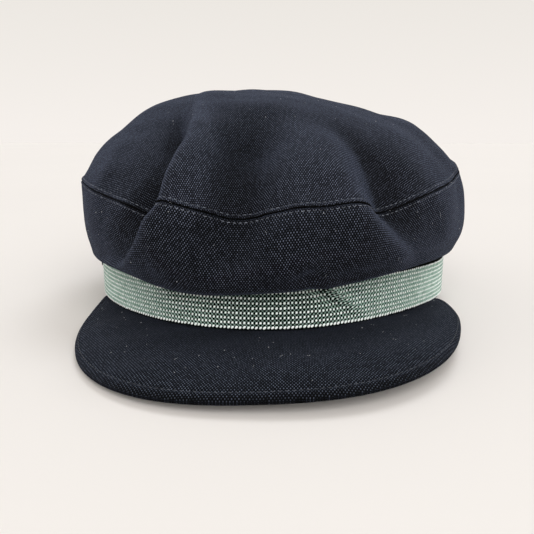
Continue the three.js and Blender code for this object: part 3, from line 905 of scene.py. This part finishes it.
# A material and short ways to add its nodes
class Graph:
    def __init__(self, name):
        self.material = bpy.data.materials.new(name)
        self.material.use_nodes = True
        self.tree = self.material.node_tree
        self.tree.nodes.clear()

    def node(self, kind, inputs=None, **settings):
        made = self.tree.nodes.new(kind)
        for key, value in settings.items():
            setattr(made, key, value)
        for key, value in (inputs or {}).items():
            if isinstance(value, bpy.types.NodeSocket):
                self.tree.links.new(value, made.inputs[key])
            else:
                made.inputs[key].default_value = value
        return made

    def math(self, operation, a, b=0.0):
        return self.node("ShaderNodeMath", {0: a, 1: b}, operation=operation).outputs[0]

    def vector(self, operation, a, b):
        return self.node("ShaderNodeVectorMath", {0: a, 1: b}, operation=operation).outputs[0]

    def noise(self, vector, scale, detail):
        return self.node("ShaderNodeTexNoise", {"Vector": vector, "Scale": scale, "Detail": detail})

    def ramp(self, factor, stops):
        made = self.node("ShaderNodeValToRGB", {"Fac": factor})
        fill_ramp(made.color_ramp, stops)
        return made.outputs["Color"]

    def range(self, value, low, high):
        made = self.node("ShaderNodeMapRange", {"Value": value, "To Min": low, "To Max": high})
        return made.outputs["Result"]

    def scaled(self, colour, factor):
        return self.node("ShaderNodeVectorMath", {0: colour, "Scale": factor}, operation="SCALE").outputs[0]

    def bump(self, height, strength, distance):
        made = self.node("ShaderNodeBump", {"Height": height, "Strength": strength, "Distance": distance})
        return made.outputs["Normal"]

    def shader(self, **sockets):
        inputs = {name.replace("_", " "): value for name, value in sockets.items()}
        shader = self.node("ShaderNodeBsdfPrincipled", inputs)
        self.node("ShaderNodeOutputMaterial", {"Surface": shader.outputs[0]})
        return self.material


# Painted light: a pale tint on the cloth where it faces up, lightening its top as light from above would
PAINTED_TOP_LIGHT = {"colour": (0.017, 0.0195, 0.0275), "power": 2.5}
# Weave: how the threads wander, vary and fade in patches, and their fuzz and relief
THREADS = {
    "wander_scale": 0.11, "wander": (0.9, 0.9, 0), "patch_scale": 38, "patches": (0.7, 1.3),
    "each": (0.4, 1.65), "fuzz_scale": 2.6, "fuzz": 0.5, "bump": 0.7, "relief_m": 0.0003,
}
SHEEN = {"roughness": 0.22, "tint": (0.52, 0.62, 0.95, 1)}


# Plain weave: crossing threads, the upright ones light on top, the level ones lower and darker; the light
# tops, the darker level threads and the near-black gaps are painted light and shade of the weave
def woven(name, gap, level, upright, sheen, top_light):
    g = Graph(name)
    uv = g.node("ShaderNodeUVMap", uv_map="weave").outputs[0]
    place = g.node("ShaderNodeTexCoord").outputs["Object"]
    drift = g.noise(uv, THREADS["wander_scale"], 2).outputs["Color"]
    wander = g.vector("SUBTRACT", drift, (0.5, 0.5, 0.5))
    moved = g.vector("ADD", uv, g.vector("MULTIPLY", wander, THREADS["wander"]))
    threads = g.node("ShaderNodeSeparateXYZ", {0: moved})
    u, v = threads.outputs[0], threads.outputs[1]
    across = g.math("SINE", g.math("MULTIPLY", u, math.pi))
    along = g.math("SINE", g.math("MULTIPLY", v, math.pi))
    wave = g.math("MULTIPLY", across, along)
    cell = g.node("ShaderNodeCombineXYZ", {0: g.math("FLOOR", u), 1: g.math("FLOOR", v)}).outputs[0]
    chance = g.node("ShaderNodeTexWhiteNoise", {"Vector": cell}, noise_dimensions="2D").outputs["Value"]
    level_to_upright = g.math("ADD", g.math("MULTIPLY", wave, 0.5), 0.5)
    thread = g.ramp(level_to_upright, ((0, level), (0.45, gap), (0.62, gap), (0.97, upright)))
    patches = g.range(g.noise(place, THREADS["patch_scale"], 3).outputs["Fac"], *THREADS["patches"])
    # Painted shade in the fold valleys and painted light on the ridges, with some wear, scale the cloth's
    # colour and its painted top light
    shade_and_wear = g.node("ShaderNodeAttribute", attribute_name=SHADE_AND_WEAR["name"]).outputs["Fac"]
    shade_and_wear_scale = g.math("ADD", g.math("MULTIPLY", shade_and_wear, SHADE_AND_WEAR["fade"]), 1.0)
    top_light_scale = g.math("ADD", g.math("MULTIPLY", shade_and_wear, SHADE_AND_WEAR["top_light"]), 1.0)
    cloth = g.scaled(g.scaled(g.scaled(thread, g.range(chance, *THREADS["each"])), patches), shade_and_wear_scale)
    # Painted light: a pale tint where the cloth faces up, in patches
    normal = g.node("ShaderNodeNewGeometry").outputs["Normal"]
    facing = g.node("ShaderNodeSeparateXYZ", {0: normal}).outputs["Z"]
    facing_up = g.math("POWER", g.math("MAXIMUM", facing, 0), PAINTED_TOP_LIGHT["power"])
    lit_from_above = g.math("MULTIPLY", facing_up, patches)
    shade = g.node("ShaderNodeAttribute", attribute_name=SEAM_SHADE["name"]).outputs["Fac"]
    open_cloth = g.math("SUBTRACT", 1.0, shade)
    top_light_here = g.scaled(PAINTED_TOP_LIGHT["colour"], g.math("MULTIPLY", g.math("MULTIPLY", lit_from_above, top_light_scale), top_light))
    colour = g.scaled(g.vector("ADD", cloth, top_light_here), open_cloth)
    fuzz = g.math("MULTIPLY", g.noise(uv, THREADS["fuzz_scale"], 2).outputs["Fac"], THREADS["fuzz"])
    height = g.math("ADD", g.math("ABSOLUTE", wave), fuzz)
    return g.shader(
        Base_Color=colour, Roughness=0.92, Specular_IOR_Level=0.08,
        Normal=g.bump(height, THREADS["bump"], THREADS["relief_m"]),
        Sheen_Weight=sheen, Sheen_Roughness=SHEEN["roughness"], Sheen_Tint=SHEEN["tint"],
    )


# Ribbon ground: near-black green, with four fine threads across to each row of dots
GROUND_THREADS = 4


def ribbon_ground_material():
    g = Graph("ribbon_ground")
    uv = g.node("ShaderNodeUVMap", uv_map="weave").outputs[0]
    rows = g.node("ShaderNodeSeparateXYZ", {0: uv}).outputs[1]
    threads = g.math("SINE", g.math("MULTIPLY", rows, GROUND_THREADS * 2 * math.pi))
    fibre = g.range(g.noise(uv, 5, 2).outputs["Fac"], 0.6, 1.4)
    thread = g.ramp(g.range(threads, 0.2, 1), ((0, (0.001, 0.003, 0.002)), (1, (0.003, 0.008, 0.005))))
    return g.shader(
        Base_Color=g.scaled(thread, fibre), Roughness=0.9, Specular_IOR_Level=0.05,
        Normal=g.bump(threads, 0.4, 0.0001),
    )


# Small grains with a tone of their own: each takes a colour between two
def grain_material(name, dark, light, roughness, sheen):
    g = Graph(name)
    tone = g.node("ShaderNodeSeparateXYZ", {0: g.node("ShaderNodeUVMap", uv_map="weave").outputs[0]})
    place = g.node("ShaderNodeTexCoord").outputs["Object"]
    fibres = g.noise(place, 2600, 2).outputs["Fac"]
    colour = g.scaled(g.ramp(tone.outputs[0], ((0, dark), (1, light))), g.range(fibres, 0.8, 1.15))
    return g.shader(
        Base_Color=colour, Roughness=roughness, Specular_IOR_Level=0.3,
        Normal=g.bump(fibres, 0.4, 0.0001), Sheen_Weight=sheen,
    )


# The last two numbers of each cloth are its sheen and the strength of its painted top light
canvas = woven(
    "canvas", gap=(0.0006, 0.0007, 0.0011), level=(0.0024, 0.003, 0.0052), upright=(0.078, 0.088, 0.12),
    sheen=0.16, top_light=0.7,
)
# The peak's cloth is the canvas made darker and without the painted top light: painted shade, as the peak
# gets less light than the crown
shaded_peak_canvas = woven(
    "shaded_peak_canvas", gap=(0.0008, 0.001, 0.0015), level=(0.0028, 0.0034, 0.005), upright=(0.06, 0.07, 0.094),
    sheen=0.07, top_light=0.0,
)
# Near-black cloth for the rows in the seam: painted shade
painted_seam_shade = woven(
    "painted_seam_shade", gap=(0.0003, 0.0003, 0.0004), level=(0.0006, 0.0007, 0.001),
    upright=(0.003, 0.0034, 0.0045), sheen=0.0, top_light=0.0,
)
tape = woven(
    "tape", gap=(0.006, 0.006, 0.008), level=(0.015, 0.016, 0.02), upright=(0.03, 0.032, 0.04),
    sheen=0.1, top_light=0.0,
)
dots_white = grain_material("ribbon_dots", (0.85, 0.93, 0.89), (0.96, 0.99, 0.97), 0.55, 0.1)
net_thread = grain_material("ribbon_net", (0.24, 0.39, 0.31), (0.45, 0.61, 0.53), 0.6, 0.1)
sewing_thread = grain_material("sewing_thread", (0.02, 0.022, 0.028), (0.17, 0.185, 0.22), 0.6, 0.1)
loose_fibre = grain_material("loose_fibre", (0.16, 0.17, 0.19), (0.5, 0.51, 0.53), 0.8, 0.2)

# Each piece with its material, its slot in the record and the nodes that it replaces
PIECES = (
    (crown_side, canvas, "canvas", ("crown_side",)),
    (crown_top, canvas, "canvas", ("crown_top",)),
    (ribbon, ribbon_ground_material(), "dotted_ribbon", ("ribbon",)),
    (ribbon_dots, dots_white, "dotted_ribbon", ()),
    (ribbon_links, net_thread, "dotted_ribbon", ()),
    (peak_upper, shaded_peak_canvas, "canvas", ("peak_upper",)),
    (peak_under, shaded_peak_canvas, "canvas", ("peak_under",)),
    (side_tab, tape, "tape", ("side_tab",)),
    (stitches, sewing_thread, "canvas", ()),
    (lint, loose_fibre, "canvas", ()),
)
for piece, material, slot, nodes in PIECES:
    piece.data.materials.append(material)
    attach(piece, "root")
    if nodes:
        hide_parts(*nodes)


# Rows of a panel's outer grid in the shade of the seam take a second, near-black material: painted shade in
# the seam
def set_black_rows(piece, rows):
    piece.data.materials.append(painted_seam_shade)
    material_index = np.zeros(len(piece.data.polygons), np.int32)
    for row in rows:
        material_index[row * COLUMNS : (row + 1) * COLUMNS] = 1
    piece.data.polygons.foreach_set("material_index", material_index)


set_black_rows(crown_side, range(seam - SEAM_SHADE["black_rows"], seam))
set_black_rows(crown_top, range(SEAM_SHADE["black_rows"]))

# Camera at the photograph's place
CAMERA = {"place": (11.06, -319.82, 85.1), "tilt_deg": 77.2, "turn_deg": 2.42, "sensor": 36, "lens": 40.45}
camera_data = bpy.data.cameras.new("camera")
camera_data.sensor_width = CAMERA["sensor"]
camera_data.lens = CAMERA["lens"]
camera_data.clip_start = 0.01
camera = add_to_scene("camera", camera_data)
camera.location = (CENTRE + np.array(CAMERA["place"])) * MM
camera.rotation_euler = (math.radians(CAMERA["tilt_deg"]), 0, math.radians(CAMERA["turn_deg"]))
bpy.context.scene.camera = camera

# Pale floor, faintly mottled
FLOOR = {"half_m": 4.0, "colour": (0.86, 0.815, 0.772), "mottle": (0.98, 1.02)}
FLOOR_CORNERS = ((-1, -1), (1, -1), (1, 1), (-1, 1))
floor_points = [(x * FLOOR["half_m"], y * FLOOR["half_m"], 0) for x, y in FLOOR_CORNERS]
floor_mesh = bpy.data.meshes.new("floor")
floor_mesh.from_pydata(floor_points, [], [(0, 1, 2, 3)])
floor = add_to_scene("floor", floor_mesh)
ground = Graph("floor")
cloudy = ground.noise(ground.node("ShaderNodeTexCoord").outputs["Object"], 3, 3).outputs["Fac"]
floor_mesh.materials.append(ground.shader(
    Base_Color=ground.scaled(FLOOR["colour"], ground.range(cloudy, *FLOOR["mottle"])), Roughness=0.6,
    Specular_IOR_Level=0.2,
))

# Soft studio light: a pale room and two wide lamps, at the front right and high at the back
LAMPS = (
    {"height_deg": 33, "right_deg": 12, "width_deg": 60, "strength": 2.2, "colour": (1, 1, 1)},
    {"height_deg": 62, "right_deg": 150, "width_deg": 28, "strength": 0.75, "colour": (0.88, 0.94, 1)},
)
for shine in LAMPS:
    lamp_data = bpy.data.lights.new("lamp", "SUN")
    lamp_data.energy = shine["strength"]
    lamp_data.color = shine["colour"]
    lamp_data.angle = math.radians(shine["width_deg"])
    lamp = add_to_scene("lamp", lamp_data)
    lamp.rotation_euler = (math.radians(90 - shine["height_deg"]), 0, math.radians(shine["right_deg"]))

# Shades of the room by height: place from level to straight up, and colour
ROOM = ((0.0, (0.92, 0.875, 0.835)), (0.2, (0.84, 0.805, 0.76)), (0.42, (0.5, 0.49, 0.48)))
room = bpy.data.worlds.new("room")
room.use_nodes = True
height_part = room.node_tree.nodes.new("ShaderNodeSeparateXYZ")
direction = room.node_tree.nodes.new("ShaderNodeTexCoord")
shades = room.node_tree.nodes.new("ShaderNodeValToRGB")
room.node_tree.links.new(direction.outputs["Generated"], height_part.inputs[0])
room.node_tree.links.new(height_part.outputs["Z"], shades.inputs["Fac"])
room.node_tree.links.new(shades.outputs["Color"], room.node_tree.nodes["Background"].inputs["Color"])
fill_ramp(shades.color_ramp, ROOM)
bpy.context.scene.world = room
bpy.context.scene.view_settings.view_transform = "Standard"
